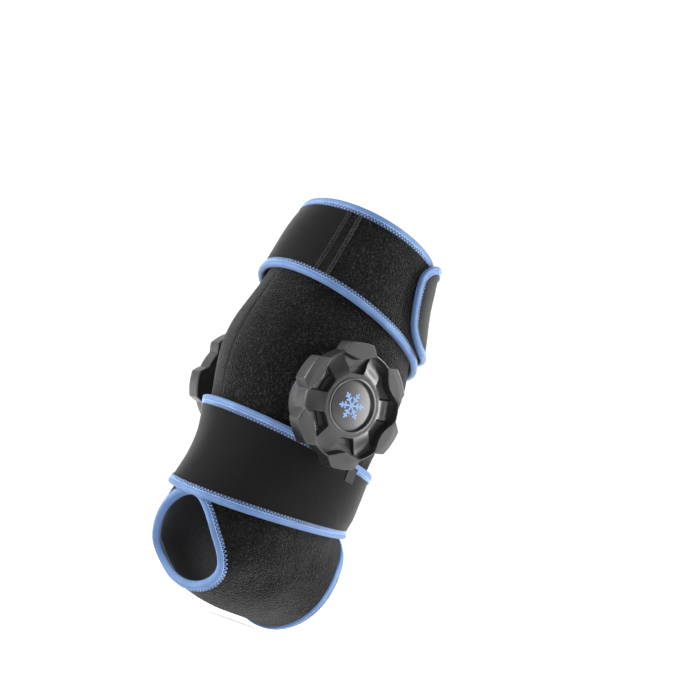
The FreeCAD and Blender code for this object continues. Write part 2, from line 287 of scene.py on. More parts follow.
def resample(points, step, closed=False):
    """Even spacing along a polyline. Returns points and the positions (fractional indices) they come from."""
    pts = np.concatenate([points, points[:1]]) if closed else points
    gaps = np.linalg.norm(np.diff(pts, axis=0), axis=1)
    at = np.concatenate([[0], np.cumsum(gaps)])
    n = max(8, int(round(at[-1] / step)))
    want = np.linspace(0, at[-1], n + 1)
    if closed:
        want = want[:-1]
    index = np.interp(want, at, np.arange(len(pts)))
    return np.stack([np.interp(want, at, pts[:, k]) for k in range(3)], 1), index


def unit(v):
    return v / (np.linalg.norm(v, axis=-1, keepdims=True) + 1e-12)


# ---- materials -------------------------------------------------------------------------------------------
def material(name, color, roughness, sheen=0.0, coat=0.0, specular=0.5):
    mat = bpy.data.materials.new(name)
    mat.use_nodes = True
    shader = mat.node_tree.nodes["Principled BSDF"]
    shader.inputs["Base Color"].default_value = (*color, 1)
    shader.inputs["Roughness"].default_value = roughness
    shader.inputs["Sheen Weight"].default_value = sheen
    shader.inputs["Sheen Roughness"].default_value = 0.35
    shader.inputs["Coat Weight"].default_value = coat
    shader.inputs["Specular IOR Level"].default_value = specular
    return mat, mat.node_tree, shader


def place_texture(tree, kind, scale, stretch=(1, 1, 1), **inputs):
    coord = tree.nodes.new("ShaderNodeTexCoord")
    mapping = tree.nodes.new("ShaderNodeMapping")
    mapping.inputs["Scale"].default_value = stretch
    tex = tree.nodes.new(kind)
    tree.links.new(coord.outputs["Object"], mapping.inputs["Vector"])
    tree.links.new(mapping.outputs["Vector"], tex.inputs["Vector"])
    tex.inputs["Scale"].default_value = scale
    for key, value in inputs.items():
        tex.inputs[key].default_value = value
    return tex


def ramp(tree, source, stops):
    node = tree.nodes.new("ShaderNodeValToRGB")
    while len(node.color_ramp.elements) < len(stops):
        node.color_ramp.elements.new(0.5)
    for element, (at, color) in zip(node.color_ramp.elements, stops):
        element.position = at
        element.color = (*color, 1)
    tree.links.new(source, node.inputs["Fac"])
    return node


def bump(tree, shader, sources, distance):
    """Chains height sources [(socket, strength), ...] into the shader's normal."""
    before = None
    for socket, strength in sources:
        node = tree.nodes.new("ShaderNodeBump")
        node.inputs["Strength"].default_value = strength
        node.inputs["Distance"].default_value = distance
        tree.links.new(socket, node.inputs["Height"])
        if before:
            tree.links.new(before.outputs["Normal"], node.inputs["Normal"])
        before = node
    tree.links.new(before.outputs["Normal"], shader.inputs["Normal"])


def grey(v, tint=0.0):
    return (v * (1 - tint * 0.3), v, v * (1 + tint))


def loop_fabric(name, dark=0.002, light=0.075):
    """Brushed loop pile over a soft blotchy nap, with painted highlights: small light flecks in the base
    colour stand for curled fibres catching the light.
    """
    mat, tree, shader = material(name, (0.02, 0.02, 0.022), 0.95, sheen=0.22, specular=0.06)
    noise = "ShaderNodeTexNoise"
    fibre = place_texture(tree, noise, 820, (1, 1, 1), Detail=4.0, Roughness=0.7, Distortion=1.2)
    curl = place_texture(tree, "ShaderNodeTexVoronoi", 720)
    nap = place_texture(tree, "ShaderNodeTexNoise", 55, (1, 1, 1), Detail=3.0)
    # painted highlight: the lightest stop paints the fibres' glints into the base colour; the darker stops
    # are random tone
    stops = [(0.42, grey(dark)), (0.56, grey(0.0075, 0.02)), (0.74, grey(light, 0.04))]
    glint_specks = ramp(tree, fibre.outputs["Fac"], stops)
    shade = ramp(tree, nap.outputs["Fac"], [(0.3, grey(0.55)), (0.7, grey(1.0))])
    mix = tree.nodes.new("ShaderNodeMix")
    mix.data_type = "RGBA"
    mix.blend_type = "MULTIPLY"
    mix.inputs["Factor"].default_value = 1.0
    tree.links.new(glint_specks.outputs["Color"], mix.inputs["A"])
    tree.links.new(shade.outputs["Color"], mix.inputs["B"])
    tree.links.new(mix.outputs["Result"], shader.inputs["Base Color"])
    heights = [(fibre.outputs["Fac"], 0.9), (curl.outputs["Distance"], 0.5), (nap.outputs["Fac"], 0.3)]
    bump(tree, shader, heights, 0.0006)
    return mat


def knit(name, color, light, scale=2100, sheen=0.15, roughness=0.86):
    """Smooth jersey face over neoprene foam."""
    mat, tree, shader = material(name, color, roughness, sheen=sheen, specular=0.06)
    grain = place_texture(tree, "ShaderNodeTexNoise", scale, (1, 1, 0.55), Detail=3.0, Roughness=0.65)
    soft = place_texture(tree, "ShaderNodeTexNoise", 40, (1, 1, 1), Detail=2.0)
    tone = ramp(tree, grain.outputs["Fac"], [(0.3, color), (0.75, light)])
    tree.links.new(tone.outputs["Color"], shader.inputs["Base Color"])
    bump(tree, shader, [(grain.outputs["Fac"], 0.35), (soft.outputs["Fac"], 0.25)], 0.0004)
    return mat


def tape(name, color, light):
    """Woven edge tape with fine crosswise ribs."""
    mat, tree, shader = material(name, color, 0.62, sheen=0.25, specular=0.4)
    rib = place_texture(tree, "ShaderNodeTexNoise", 1500, (1, 1, 1), Detail=2.0)
    wear = place_texture(tree, "ShaderNodeTexNoise", 90, (1, 1, 1), Detail=3.0)
    tone = ramp(tree, wear.outputs["Fac"], [(0.3, color), (0.7, light)])
    tree.links.new(tone.outputs["Color"], shader.inputs["Base Color"])
    bump(tree, shader, [(rib.outputs["Fac"], 0.4), (wear.outputs["Fac"], 0.15)], 0.0003)
    return mat


def moulded(name, color, light, roughness=0.36, fine=2600, coat=0.0):
    """Moulded plastic with a fine spark-eroded grain."""
    mat, tree, shader = material(name, color, roughness, coat=coat)
    grain = place_texture(tree, "ShaderNodeTexNoise", fine, (1, 1, 1), Detail=2.0)
    cloud = place_texture(tree, "ShaderNodeTexNoise", 60, (1, 1, 1), Detail=3.0)
    tone = ramp(tree, cloud.outputs["Fac"], [(0.3, color), (0.7, light)])
    tree.links.new(tone.outputs["Color"], shader.inputs["Base Color"])
    rough = ramp(tree, cloud.outputs["Fac"], [(0.2, grey(roughness * 0.88)), (0.8, grey(roughness * 1.12))])
    tree.links.new(rough.outputs["Color"], shader.inputs["Roughness"])
    bump(tree, shader, [(grain.outputs["Fac"], 0.12)], 0.0002)
    return mat


LOOP = loop_fabric("loop_pile")
SMOOTH = knit("smooth_face", (0.003, 0.003, 0.0031), (0.009, 0.009, 0.0092), sheen=0.3)
LINING = knit("lining_knit", (0.02, 0.02, 0.022), (0.05, 0.05, 0.054), 1300)
HOOK = loop_fabric("hook_pile", 0.004, 0.05)
TAPE = tape("blue_tape", (0.055, 0.112, 0.245), (0.08, 0.155, 0.31))
# painted shade: a darker blue tape for the stitched lane and the flange's outer end, standing for the shade
# between and under the stitches
STITCH_SHADE = tape("stitch_bed_painted_shade", (0.012, 0.022, 0.05), (0.02, 0.036, 0.08))
THREAD = tape("blue_thread", (0.16, 0.28, 0.52), (0.26, 0.40, 0.68))
BLACK_THREAD = knit("black_thread", (0.012, 0.012, 0.012), (0.05, 0.05, 0.05), 2600, 0.4, 0.6)
CAP = moulded("cap_satin", (0.008, 0.008, 0.0082), (0.012, 0.012, 0.0123), 0.31)
BADGE = moulded("badge_satin", (0.013, 0.013, 0.0135), (0.018, 0.018, 0.0185), 0.38)
MARK = moulded("mark_blue", (0.11, 0.21, 0.42), (0.14, 0.25, 0.48), 0.5)
CLOSURE = moulded("closure_plastic", (0.030, 0.031, 0.034), (0.042, 0.043, 0.046), 0.4)
SEAL = moulded("seal_rubber", (0.04, 0.04, 0.042), (0.06, 0.06, 0.062), 0.75)
FILM = moulded("bag_film", (0.20, 0.36, 0.60), (0.30, 0.48, 0.72), 0.45, 900)
LABEL = knit("label_weave", (0.018, 0.018, 0.019), (0.05, 0.05, 0.053), 1800, 0.2)


# ---- bindings --------------------------------------------------------------------------------------------
STITCH_STEP = 1.15        # half of a zigzag's pitch, in mm


def edge(u, t, d, sign, closed=False):
    """Even points along an edge of the surface, with normals and the side that points into the fabric."""
    _, index = resample(skin(u, t, d), STITCH_STEP, closed)
    if closed:
        full_turn = abs(t[-1] - t[0]) > 180 and t[-1] > t[0]
        u = np.append(u, u[0])
        t = np.append(t, t[0] + (360 if full_turn else 0))
    u2 = np.interp(index, np.arange(len(u)), u)
    t2 = np.interp(index, np.arange(len(t)), t)
    p, normal, _, _ = skin_frame(u2, t2, d)
    if closed:
        way = unit(np.roll(p, -1, 0) - np.roll(p, 1, 0))
    else:
        way = unit(np.gradient(p, axis=0))
    side = unit(np.cross(normal, way)) * sign
    return p, normal, side


def bind(name, node, path, thickness, width=5.2, closed=False, swell=1.0):
    """Tape folded over a sheet's edge: a rounded roll, and a flat flange with crossed zigzag stitching."""
    p, n, b = path
    s, th, w = swell, thickness, width
    profile = [
        (w, -0.2),
        (w, 0.4),
        (w - 0.35, 0.55),
        (w - 2.6, 0.55),
        (w - 2.85, 0.8 * s),
        (w - 3.4, 1.05 * s),
        (0.7, 1.1 * s),
        (0.0, 0.85 * s),
        (-0.5, 0.3 * s),
        (-0.7, -0.5),
        (-0.7, -th + 0.3),
        (-0.4, -th - 0.3),
        (0.4, -th - 0.6),
        (w - 0.6, -th - 0.5),
        (w, -th + 0.1),
    ]
    v, f = sweep(p, n, b, profile, closed)
    ob = make(name, v, f, TAPE)
    cols = len(profile)
    # painted shade: the stitched lane and the flange's outer end, top and underside, take the darker tape
    ob.data.materials.append(STITCH_SHADE)
    for poly in ob.data.polygons:
        if poly.index % cols in (0, 1, 2, 13, 14) and len(poly.vertices) == 4:
            poly.material_index = 1
    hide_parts(node)
    swing = np.arange(len(p)) % 2
    reach = np.where(swing == 0, w - 0.3, w - 2.5)[:, None]
    crossing = tube(p + b * reach + n * 0.66, 0.27)
    lock = tube(p + b * (w - 2.5) + n * 0.72, 0.22)
    tv, tf = join([crossing, lock])
    stitches = make(name + "_stitches", tv, tf, THREAD)
    return ob, stitches


def settle(objects):
    for o in objects:
        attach(o, "wrap")


def ring_path(height, d, sign):
    t = np.linspace(0, 360, 241)[:-1]
    return edge(find_u(t, d, height), t, d, sign, closed=True)


def u_at(t, d, height):
    """Station at which one angle's line down the tube meets a condition."""
    return float(find_u(np.array([t]), d, height)[0])


def ripple(p, seed, size, amount):
    """Smooth repeatable unevenness of cloth, in mm, from sums of sines."""
    rng = random.Random(seed)
    total = np.zeros(p.shape[:-1])
    for _ in range(9):
        way = np.array([rng.gauss(0, 1) for _ in range(3)])
        way *= 2 * math.pi / size / np.linalg.norm(way) * rng.uniform(0.6, 1.5)
        total += np.sin(p @ way + rng.uniform(0, 6.3))
    return total / 3 * amount


def zigzag(u, t, d, width, pitch, name, radius=0.2):
    """Flatlock stitching along a line on the surface."""
    _, index = resample(skin(u, t, d), pitch / 2)
    u2 = np.interp(index, np.arange(len(u)), u)
    t2 = np.interp(index, np.arange(len(t)), t)
    p, n, _, _ = skin_frame(u2, t2, d)
    side = unit(np.cross(n, unit(np.gradient(p, axis=0))))
    swing = np.where(np.arange(len(p)) % 2, 1, -1)[:, None]
    strands = [tube(p + side * swing * width / 2 + n * 0.1, radius, 5)]
    strands.append(tube(p - side * swing * width / 2 + n * 0.22, radius, 5))
    for edge_side in (-1, 1):
        strands.append(tube(p + side * edge_side * width / 2 + n * 0.12, radius, 5))
    v, f = join(strands)
    ob = make(name, v, f, BLACK_THREAD)
    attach(ob, "wrap")


# ---- body panels -----------------------------------------------------------------------------------------
PANEL_T = 4.0
BODY_SEAM_T = 166.0       # angle of the body's rear seam
SLIT_HALF, SLIT_FLOOR = 5.0, 92


def body_panels():
    """Both panels as one padded shell, with the heel opening and the front slit left out."""
    cols, rows = 300, 190
    t = np.arange(cols) * 360 / cols
    top = find_u(t, 0.0, plane(*BODY_TOP))
    toe = find_u(t, 0.0, before_toe)
    k = np.linspace(0, 1, rows)[:, None]
    u = top + (toe - top) * k
    tt = np.broadcast_to(t, u.shape)
    base = skin(u, tt, 0.0)
    seam = np.exp(-(((tt - BODY_SEAM_T) / 1.6) ** 2))
    puff = ripple(base, 3, 46, 0.35) + ripple(base, 5, 19, 0.12)
    outer = skin(u, tt, puff - 0.55 * seam)
    inner = skin(u, tt, -PANEL_T)
    slit = (np.abs(base[..., 1]) < SLIT_HALF + 0.6) & (base[..., 2] > SLIT_FLOOR) & (base[..., 0] > 0)
    good = (outside_heel(base) > 0.9) & ~slit
    beside = np.roll(good, -1, axis=1)
    keep = (good & beside)[:-1] & (good & beside)[1:]
    keep = keep.ravel().tolist()
    v, f = compact(*shell(outer, inner, True, keep))
    ob = make("body_panels", v, f, LOOP, sharp=60)
    back_faces(ob, LINING, sum(keep))
    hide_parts("near_body_panel", "far_body_panel")
    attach(ob, "wrap")


def rear_seam():
    """The seam down the rear of the body, and the tape inside it."""
    top = u_at(BODY_SEAM_T, 0.0, plane(*CALF_LOW)) - 0.3
    foot = u_at(BODY_SEAM_T, 0.0, plane(*ANKLE_TOP)) + 0.3
    line = np.linspace(top, foot, 60)
    zigzag(line, np.full(60, BODY_SEAM_T), -0.2, 3.6, 2.6, "rear_seam_stitches")
    p, n, _, way = skin_frame(np.linspace(3.2, 17, 60), np.full(60, 180.0), -PANEL_T - 0.35)
    v, f = sweep(p, n, way, [(-7, -0.3), (-6.6, 0.3), (6.6, 0.3), (7, -0.3), (6.4, -0.5), (-6.4, -0.5)])
    ob = make("rear_seam_cover", v, f, LINING)
    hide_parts("rear_seam_tape")
    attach(ob, "wrap")


def heel_loop():
    """The heel opening's edge as (station, angle) round its middle."""
    centre_u, centre_t = 19.3, 180.0
    us, ts = [], []
    for a in np.linspace(0, 2 * math.pi, 181)[:-1]:
        du, dt = math.cos(a), math.sin(a) * 18
        lo, hi = 0.0, 1.0
        while outside_heel(skin(centre_u + du * hi, centre_t + dt * hi, 0.0)) < 0 and hi < 6:
            hi += 0.25
        for _ in range(30):
            mid = (lo + hi) / 2
            if outside_heel(skin(centre_u + du * mid, centre_t + dt * mid, 0.0)) < 0:
                lo = mid
            else:
                hi = mid
        us.append(centre_u + du * lo)
        ts.append(centre_t + dt * lo)
    return np.array(us), np.array(ts)


def body_bindings():
    u, t = heel_loop()
    p, n, b = edge(u, t, 0.0, 1, closed=True)
    if np.mean(np.sum(b * (p - p.mean(0)), axis=1)) < 0:
        b = -b
    settle(bind("heel_edge", "heel_binding", (p, n, b), 3.4, closed=True))
    settle(bind("toe_edge", "toe_binding", ring_path(before_toe, 0.0, -1), 3.4, closed=True))
    lips = []
    for word, side in (("far", 1), ("near", -1)):
        y = side * (SLIT_HALF + 0.2)
        foot = u_at(y, 0.0, plane(SLIT_FLOOR + 2, 0, 0))     # y degrees round is near enough to y mm here
        us = np.linspace(3.2, foot, 120)
        ts = np.degrees(np.arcsin(np.clip(y / station(us)[:, 4], -1, 1)))
        p, n, b = edge(us, ts, 0.0, 1)
        b = np.where((np.sum(b * np.array([0, side, 0]), axis=1) < 0)[:, None], -b, b)
        lips += list(bind("front_edge_" + word, "front_edge_bindings", (p, n, b), 4.0, swell=0.5))
    settle(lips)


# ---- straps ----------------------------------------------------------------------------------------------
def strap(name, node, slot, mat, sheet, low, top, t0, t1, seed):
    """Sheet between two edges and two angles, a little thinner at its edges than in its middle."""
    inner, outer = sheet
    cols, rows = int((t1 - t0) / 1.5) + 1, 44
    t = np.linspace(t0, t1, cols)
    hi, lo = find_u(t, outer, plane(*top, shift=-0.6)), find_u(t, outer, plane(*low, shift=0.6))
    k = np.linspace(0, 1, rows)[:, None]
    u = hi + (lo - hi) * k
    tt = np.broadcast_to(t, u.shape)
    base = skin(u, tt, outer)
    crown = 1 - (2 * k - 1) ** 6
    d = outer - 0.45 + 0.7 * crown + ripple(base, seed, 42, 0.28) * crown
    v, f = shell(skin(u, tt, d), skin(u, tt, inner + 1.5 * (1 - crown)))
    ob = make(name, v, f, mat, sharp=60)
    back_faces(ob, LINING, (rows - 1) * (cols - 1))
    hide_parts(node)
    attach(ob, "wrap")


# inner and outer faces of each strap, as offsets from the body's face
CALF_SHEET, ANKLE_SHEET = (1.0, 5.0), (1.0, 4.4)
SEAM_T = 209.5            # angle at which the calf strap's two fabrics meet
SEAM_LEAN = 3.5           # how far that seam leans either way along its length, in degrees


def straps():
    calf, ankle = (CALF_SHEET, CALF_LOW, CALF_TOP), (ANKLE_SHEET, ANKLE_LOW, ANKLE_TOP)
    strap("calf_smooth", "calf_strap_smooth", "smooth_neoprene", SMOOTH, *calf, 20, SEAM_T, 11)
    strap("calf_loop", "calf_strap_loop", "loop_fabric", LOOP, *calf, SEAM_T, 380, 11)
    strap("ankle_band", "ankle_strap", "smooth_neoprene", SMOOTH, *ankle, 0, 360, 12)
    calf_out, ankle_out = CALF_SHEET[1], ANKLE_SHEET[1]
    rows = [
        ("calf_top_edge", "calf_strap_top_binding", CALF_TOP, calf_out, 1, 2.3, 0.9),
        ("calf_low_edge", "calf_strap_low_binding", CALF_LOW, calf_out, -1, 2.3, 0.95),
        ("ankle_top_edge", "ankle_strap_top_binding", ANKLE_TOP, ankle_out, 1, 2.0, 0.9),
        ("ankle_low_edge", "ankle_strap_low_binding", ANKLE_LOW, ankle_out, -1, 2.0, 0.95),
    ]
    for name, node, height, d, up, thickness, swell in rows:
        p, n, b = ring_path(plane(*height), d, 1)
        b = np.where((b[:, 2] * up > 0)[:, None], -b, b)
        settle(bind(name, node, (p, n, b), thickness, closed=True, swell=swell))
    for at in (SEAM_T - 4.4, SEAM_T + 4.4):
        top = u_at(at, calf_out, plane(*CALF_TOP, shift=-5))
        foot = u_at(at, calf_out, plane(*CALF_LOW, shift=5))
        ts = at + np.linspace(SEAM_LEAN, -SEAM_LEAN, 60)
        us = np.linspace(top, foot, 60)
        zigzag(us, ts, calf_out + 0.25, 2.2, 2.0, f"calf_seam_{int(at)}")


def corner_setback(z, low, top, corner):
    """How far a round-cornered outline falls short of its side at each height."""
    near_edge = np.minimum(z - low, top - z)
    short = np.maximum(corner**2 - (corner - near_edge) ** 2, 0)
    return near_edge, np.where(near_edge < corner, corner - np.sqrt(short), 0)


def across(azimuth):
    a = math.radians(azimuth - 90)
    return np.array([math.cos(a), math.sin(a)])


def t_at_across(u, d, azimuth, value):
    """Angle at which the surface's distance across an azimuth has a value, on the side that faces it."""
    way = across(azimuth)
    lo, hi = np.full(np.shape(u), azimuth - 88.0), np.full(np.shape(u), azimuth + 88.0)
    for _ in range(40):
        mid = (lo + hi) / 2
        more = skin(u, mid, d)[..., :2] @ way > value
        lo, hi = np.where(more, mid, lo), np.where(more, hi, mid)
    return (lo + hi) / 2


def strap_end(name, node, spot, inner, lift, slant, material, seed):
    """Round-cornered strap end that grips the strap under it, and rises off that strap at its root."""
    azimuth, root, tip, low, top, corner = spot
    side = 1 if tip > root else -1
    rows, cols = 50, 76
    z = np.linspace(low + 0.5, top - 0.5, rows)
    _, setback = corner_setback(z, low, top, corner)
    outer = inner + 3.2

    def height_station(t):
        return find_u(t, outer, lambda p: p[..., 2] - (z if p.ndim == 2 else z[:, None]))

    def angle_at(value):
        """Angle of a line across the strap end at each height, found with its station by turns."""
        u = np.full(rows, 9.0)
        for _ in range(6):
            t = t_at_across(u, outer, azimuth, value)
            u = height_station(t)
        return t

    t_tip = angle_at(tip - side * setback + slant * (low + 38 - z))
    t_root = angle_at(root - side * 12.0)
    k = np.linspace(0, 1, cols)
    tt = t_root[:, None] + (t_tip - t_root)[:, None] * k
    zz = np.broadcast_to(z[:, None], tt.shape)
    u = height_station(tt)
    rise = np.clip(k / 0.22, 0, 1)
    rise = rise * rise * (3 - 2 * rise)
    flare = lift * np.clip((k - 0.72) / 0.28, 0, 1) ** 2
    d_in = inner - 0.9 + 0.9 * rise + flare
    base = skin(u, tt, outer)
    crown = (1 - (2 * (zz - low) / (top - low) - 1) ** 6) * np.minimum(1, (1 - k) / 0.08 + 0.2)
    d_out = d_in + 0.7 + 2.3 * rise + 0.45 * crown + ripple(base, seed, 40, 0.25) * crown
    v, f = shell(skin(u, tt, d_out), skin(u, tt, d_in))
    ob = make(name, v, f, material, sharp=60)
    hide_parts(node)
    hook_cols = (k > 0.42) & (k < 0.93)
    hook_rows = (z > low + 6) & (z < top - 6)
    hu, ht = u[np.ix_(hook_rows, hook_cols)], tt[np.ix_(hook_rows, hook_cols)]
    hd = np.broadcast_to(d_in, u.shape)[np.ix_(hook_rows, hook_cols)]
    v, f = shell(skin(hu, ht, hd - 0.02), skin(hu, ht, hd - 0.7))
    hook = make(name + "_hooks", v, f, HOOK)
    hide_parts(node + "_hook_patch")
    line = [(0, j) for j in range(4, cols)] + [(i, cols - 1) for i in range(1, rows - 1)]
    line += [(rows - 1, j) for j in range(cols - 1, 3, -1)]
    us = np.array([u[i, j] for i, j in line])
    ts = np.array([tt[i, j] for i, j in line])
    ds = np.array([d_out[i, j] for i, j in line])
    raw = skin(us, ts, ds)
    _, index = resample(raw, STITCH_STEP)
    us, ts, ds = (np.interp(index, np.arange(len(line)), a) for a in (us, ts, ds))
    p, n, _, _ = skin_frame(us, ts, ds)
    b = unit(np.cross(n, unit(np.gradient(p, axis=0))))
    middle = skin(u[rows // 2, cols // 2], tt[rows // 2, cols // 2], outer)
    b = b * np.sign(np.median(np.sum(b * (middle - p), axis=1)))
    parts = [ob, hook, *bind(name + "_edge", node + "_binding", (p, n, b), 1.9, 4.4, swell=0.85)]
    start = skin(u[rows // 2, 2], tt[rows // 2, 2], outer) * MM
    end = skin(u[rows // 2, int(cols * 0.2)], tt[rows // 2, int(cols * 0.2)], outer) * MM
    for part in parts:
        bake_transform(part)


# ---- caps ------------------------------------------------------------------------------------------------
CAP_R, VALLEY_R, CAP_TOP, CAP_BASE = 38.5, 34.0, 14.5, 3.5
SKIRT_BORE, SKIRT_DEPTH = 23.0, 9.6
LOBE_PHASE = 43.5         # turn of one lobe from level, at rest
CAP_Z = 138.0
NEAR_CAP, FAR_CAP = (1, -16.0, 56.0), (-1, -8.0, 59.5)     # side, axis x and how far out its base is


def step(x, a, b):
    f = np.clip((x - a) / (b - a), 0, 1)
    return f * f * (3 - 2 * f)


def cap_outline(lobe):
    """Outer radius at an angle from the nearest lobe's middle, in degrees."""
    f = np.clip((np.abs(lobe) - 12.6) / 7.8, 0, 1)
    return CAP_R + (VALLEY_R - CAP_R) * f


def cap_height(r, lobe):
    """Height of the cap's face: rim, lens pads, bowl with dished petals, wedge pockets, hub lip and disc."""
    a = np.abs(lobe)
    inner = 32.6 - 4.9 * np.cos(np.clip(a / 21.5, 0, 1) * math.pi / 2) ** 1.15
    petal = np.cos(np.clip((30 - a) / 15, 0, 1) * math.pi / 2) * step(r, 20, 26)
    bowl = CAP_TOP - 0.75 - 3.3 * step(r, 18.5, 31.0) - 0.55 * petal
    half = 3.6 + (np.clip(r, 18.5, 32) - 18.5) * 0.47
    sideways = r * np.sin(np.radians(a))
    start = 19.2 + 0.03 * sideways**2
    pocket = (1 - step(sideways, half - 0.5, half + 0.35)) * step(r, start, start + 1.1)
    floor = CAP_TOP - 5.9 + 0.05 * (r - 20)
    surface = bowl + (np.minimum(floor, bowl) - bowl) * pocket
    rim = CAP_TOP - 0.1 * step(r, 34, 38)
    wall = step(r, inner - 0.45, inner + 0.45)
    surface = surface + (rim - surface) * wall
    lip = np.exp(-(((r - 16.1) / 0.5) ** 2)) * 0.35
    disc = CAP_TOP - 2.05
    inside = 1 - step(r, 15.1, 15.7)
    surface = np.where(r < 18, CAP_TOP - 0.75 + lip, surface + lip)
    return surface + (disc - surface) * inside


def cap_piece(name, node, badge, body, spot):
    turns = 432
    a = np.arange(turns) * 360 / turns
    lobe = (a + 30) % 60 - 30
    outline = cap_outline(lobe)
    face_shares = ((0.04, 0.38, 7), (0.392, 0.44, 8), (0.452, 0.982, 62))
    shares = np.concatenate([np.linspace(*part) for part in face_shares])
    rings = []
    for s in shares:
        r = s * (VALLEY_R + (outline - VALLEY_R) * step(s, 0.6, 1.0))
        rings.append((r, cap_height(r, lobe)))
    for inset, drop in ((0.55, 0.0), (0.15, 0.16), (0.0, 0.6)):
        rings.append((outline - inset, np.full(turns, CAP_TOP - 0.1 - drop)))
    for h in (11.0, 7.5, CAP_BASE + 0.7):
        rings.append((outline, np.full(turns, h)))
    rings.append((outline - 0.7, np.full(turns, CAP_BASE)))
    for r, h in ((24.5, CAP_BASE), (SKIRT_BORE, CAP_BASE + 0.6), (SKIRT_BORE, SKIRT_DEPTH)):
        rings.append((np.full(turns, r), np.full(turns, h)))
    local = []
    rad = np.radians(a + LOBE_PHASE)
    for r, h in rings:
        local.append(np.stack([r * np.cos(rad), r * np.sin(rad), h], 1))
    grid = np.array(local)
    faces = grid_faces(len(rings), turns, 0, True)
    verts = grid.reshape(-1, 3)
    centre_top, centre_in = len(verts), len(verts) + 1
    verts = np.concatenate([verts, [[0, 0, CAP_TOP - 2.05], [0, 0, SKIRT_DEPTH]]])
    last = (len(rings) - 1) * turns
    for j in range(turns):
        k = (j + 1) % turns
        faces.append([centre_top, k, j])
        faces.append([last + j, last + k, centre_in])
    place = cap_place(*spot)
    ob = make(name, to_world(verts, place), [f[::-1] for f in faces], CAP, sharp=32)
    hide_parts(node)
    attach(ob, body)

    disc_v, disc_f = [], []
    for r, h in ((0.01, 0.35), (13.6, 0.35), (14.0, 0.2), (14.0, -0.1)):
        ring_a = np.radians(np.arange(96) * 3.75)
        disc_v += [(r * math.cos(x), r * math.sin(x), CAP_TOP - 2.05 + h) for x in ring_a]
    disc_f = grid_faces(4, 96, 0, True, True)
    disc = make(name + "_badge", to_world(np.array(disc_v), place), disc_f, BADGE, sharp=40)
    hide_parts(badge)
    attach(disc, body)
    mark = snowflake(name + "_mark", place, CAP_TOP - 1.7)
    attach(mark, body)


def snowflake(name, place, height):
    """Six-armed flake in raised ink."""
    parts = []

    def bar(p, q, width):
        p, q = np.array(p), np.array(q)
        way = unit(q - p)
        off = np.array([-way[1], way[0]]) * width / 2
        corners = [p + off, p - off, q - off, q + off]
        v = [(*c, height + 0.14) for c in corners] + [(*c, height - 0.05) for c in corners]
        f = [[0, 1, 2, 3], [0, 4, 5, 1], [1, 5, 6, 2], [2, 6, 7, 3], [3, 7, 4, 0], [7, 6, 5, 4]]
        parts.append((np.array(v), f))

    for i in range(6):
        a = math.radians(60 * i + LOBE_PHASE + 30)
        e = np.array([math.cos(a), math.sin(a)])
        bar((0, 0), e * 8.8, 1.05)
        for at, long in ((3.6, 2.4), (6.0, 2.0)):
            for turn in (-1, 1):
                b = a + turn * math.radians(58)
                bar(e * at, e * at + np.array([math.cos(b), math.sin(b)]) * long, 0.95)
    v, f = join(parts)
    return make(name, to_world(v, place), f, MARK, smooth=False)


def cap_place(side, axis_x, face):
    yaw = math.radians(15)
    out = np.array([-math.sin(yaw), -math.cos(yaw), 0]) * side
    origin = np.array([axis_x, 0, CAP_Z]) + out * face
    return origin, np.array([-out[1], out[0], 0]), np.array([0, 0, 1.0]), out


def to_world(verts, place):
    origin, x, y, z = place
    verts = np.asarray(verts, float)
    return origin + verts[:, :1] * x + verts[:, 1:2] * y + verts[:, 2:3] * z


# ---- ice bags and pockets --------------------------------------------------------------------------------
def bag_grid(side, axis_x, half_w, half_h, corner, rows=60, cols=52):
    """Stations and angles over a round-cornered patch behind a cap, and each point's distance to its edge."""
    azimuth = -105.0 if side > 0 else 75.0
    z = np.linspace(CAP_Z - half_h, CAP_Z + half_h, rows)
    near_edge, setback = corner_setback(z, z[0], z[-1], corner)
    x = np.linspace(-1, 1, cols)[None, :] * (half_w - setback)[:, None]
    way = across(azimuth)
    shift = np.array([axis_x, 0.0]) @ way
    lo, hi = np.full(x.shape, azimuth - 88.0), np.full(x.shape, azimuth + 88.0)
    zz = np.broadcast_to(z[:, None], x.shape)
    u_row = np.interp(-zz, -STATIONS[:20, 1], np.arange(20))
    for _ in range(40):
        mid = (lo + hi) / 2
        more = skin(u_row, mid, -6.0)[..., :2] @ way > x + shift
        lo, hi = np.where(more, mid, lo), np.where(more, hi, mid)
    t = (lo + hi) / 2
    depth = np.minimum(near_edge[:, None], (half_w - setback)[:, None] - np.abs(x))
    return u_row, t, np.maximum(depth, 0), x, zz


